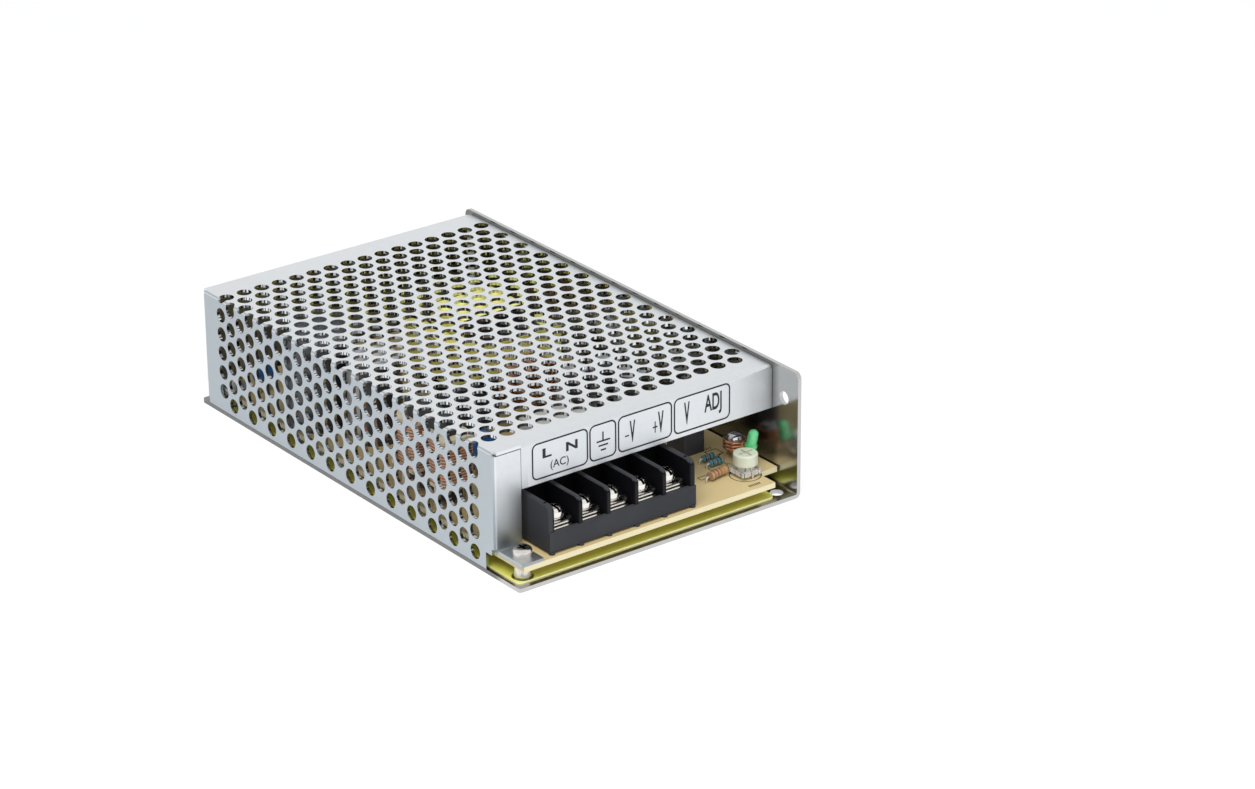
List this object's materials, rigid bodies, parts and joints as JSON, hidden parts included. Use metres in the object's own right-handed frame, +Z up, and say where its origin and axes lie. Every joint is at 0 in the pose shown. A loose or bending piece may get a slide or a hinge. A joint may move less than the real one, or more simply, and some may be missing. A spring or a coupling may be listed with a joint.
{
  "type": "led power supply",
  "caption": "Enclosed switching power supply in a perforated folded metal case, with a barrier terminal block, an output adjuster and a lamp at its open end",
  "frame": {"origin": "centre of the chassis underside", "axes": "+X towards the tall chassis wall, +Y away from the terminals along the length, +Z up"},
  "size_m": [0.097, 0.159, 0.038],
  "materials": {
    "case_aluminium": "bare sheet, bright",
    "zinc_sheet": "zinc-plated sheet",
    "yellow_film": "thin polyester film",
    "board_laminate": "paper laminate",
    "nickel_steel": "nickel plated",
    "nickel_brass": "nickel plated",
    "block_plastic": "moulded thermoset",
    "adjuster_plastic": "moulded",
    "knob_nylon": "milky nylon",
    "green_lens": "diffused lens",
    "pad_rubber": "silicone pad",
    "black_epoxy": "moulded epoxy",
    "ferrite": "sintered ferrite",
    "bobbin_plastic": "moulded",
    "yellow_tape": "polyester tape",
    "enamelled_copper": "enamelled wire",
    "black_sleeve": "shrink sleeve",
    "blue_coating": "epoxy coating",
    "dark_coating": "epoxy coating",
    "white_box": "moulded box",
    "dark_box": "moulded box",
    "fuse_glass": "glass tube with metal caps",
    "ring_core": "painted powder core",
    "teal_coating": "lacquer",
    "tan_coating": "lacquer"
  },
  "bodies": {
    "housing": {"chassis": "case_aluminium", "cover": "zinc_sheet", "insulation_sheet": "yellow_film", "circuit_board": "board_laminate", "standoffs": "nickel_steel", "board_screws": "nickel_steel", "cover_screws": "nickel_steel", "device_screws": "nickel_steel", "device_nuts": "nickel_steel", "terminal_block": "block_plastic", "terminal_plates": "nickel_brass", "adjuster_base": "adjuster_plastic", "power_led": "green_lens", "heat_spreader": "case_aluminium", "insulating_pads": "pad_rubber", "switching_transistor": "black_epoxy", "output_diode": "black_epoxy", "transformer_core": "ferrite", "transformer_bobbin": "bobbin_plastic", "transformer_winding": "yellow_tape", "transformer_tape": "yellow_tape", "line_choke_core": "ferrite", "line_choke_bobbin": "bobbin_plastic", "line_choke_windings": "enamelled_copper", "input_capacitor": "black_sleeve", "reservoir_capacitor": "black_sleeve", "output_capacitors": "black_sleeve", "small_capacitors": "black_sleeve", "y_capacitors": "blue_coating", "thermistor": "dark_coating", "varistor": "blue_coating", "x_capacitor": "white_box", "film_capacitor": "dark_box", "bridge_rectifier": "black_epoxy", "optocoupler": "black_epoxy", "controller_chip": "black_epoxy", "fuse": "fuse_glass", "fuse_clips": "nickel_brass", "output_choke_core": "ring_core", "output_choke_winding": "enamelled_copper", "filter_choke_core": "ferrite", "filter_choke_winding": "enamelled_copper", "film_resistors": "teal_coating", "carbon_resistor": "tan_coating"},
    "clamp_1": {"clamp_washer_1": "nickel_brass"},
    "screw_1": {"terminal_screw_1": "nickel_steel"},
    "clamp_2": {"clamp_washer_2": "nickel_brass"},
    "screw_2": {"terminal_screw_2": "nickel_steel"},
    "clamp_3": {"clamp_washer_3": "nickel_brass"},
    "screw_3": {"terminal_screw_3": "nickel_steel"},
    "clamp_4": {"clamp_washer_4": "nickel_brass"},
    "screw_4": {"terminal_screw_4": "nickel_steel"},
    "clamp_5": {"clamp_washer_5": "nickel_brass"},
    "screw_5": {"terminal_screw_5": "nickel_steel"},
    "adjuster": {"adjuster_knob": "knob_nylon"}
  },
  "joints": [
    {"name": "clamp_lift_1", "type": "slide", "parent": "housing", "child": "clamp_1", "axis": [0, 0, 1], "range_m": [0, 0.003]},
    {"name": "screw_turn_1", "type": "hinge", "parent": "clamp_1", "child": "screw_1", "pos_m": [-0.03105, -0.0714, 0.015], "axis": [0, 0, 1], "range_deg": [0, 1800]},
    {"name": "clamp_lift_2", "type": "slide", "parent": "housing", "child": "clamp_2", "axis": [0, 0, 1], "range_m": [0, 0.003]},
    {"name": "screw_turn_2", "type": "hinge", "parent": "clamp_2", "child": "screw_2", "pos_m": [-0.02155, -0.0714, 0.015], "axis": [0, 0, 1], "range_deg": [0, 1800]},
    {"name": "clamp_lift_3", "type": "slide", "parent": "housing", "child": "clamp_3", "axis": [0, 0, 1], "range_m": [0, 0.003]},
    {"name": "screw_turn_3", "type": "hinge", "parent": "clamp_3", "child": "screw_3", "pos_m": [-0.01205, -0.0714, 0.015], "axis": [0, 0, 1], "range_deg": [0, 1800]},
    {"name": "clamp_lift_4", "type": "slide", "parent": "housing", "child": "clamp_4", "axis": [0, 0, 1], "range_m": [0, 0.003]},
    {"name": "screw_turn_4", "type": "hinge", "parent": "clamp_4", "child": "screw_4", "pos_m": [-0.00255, -0.0714, 0.015], "axis": [0, 0, 1], "range_deg": [0, 1800]},
    {"name": "clamp_lift_5", "type": "slide", "parent": "housing", "child": "clamp_5", "axis": [0, 0, 1], "range_m": [0, 0.003]},
    {"name": "screw_turn_5", "type": "hinge", "parent": "clamp_5", "child": "screw_5", "pos_m": [0.00695, -0.0714, 0.015], "axis": [0, 0, 1], "range_deg": [0, 1800]},
    {"name": "adjuster_turn", "type": "hinge", "parent": "housing", "child": "adjuster", "pos_m": [0.0363, -0.0701, 0.0107], "axis": [0, 0, 1], "range_deg": [-130, 130]}
  ],
  "couplings": [
    {"joint": "screw_turn_1", "follows": "clamp_lift_1", "rad_per_m": 10472},
    {"joint": "screw_turn_2", "follows": "clamp_lift_2", "rad_per_m": 10472},
    {"joint": "screw_turn_3", "follows": "clamp_lift_3", "rad_per_m": 10472},
    {"joint": "screw_turn_4", "follows": "clamp_lift_4", "rad_per_m": 10472},
    {"joint": "screw_turn_5", "follows": "clamp_lift_5", "rad_per_m": 10472}
  ]
}
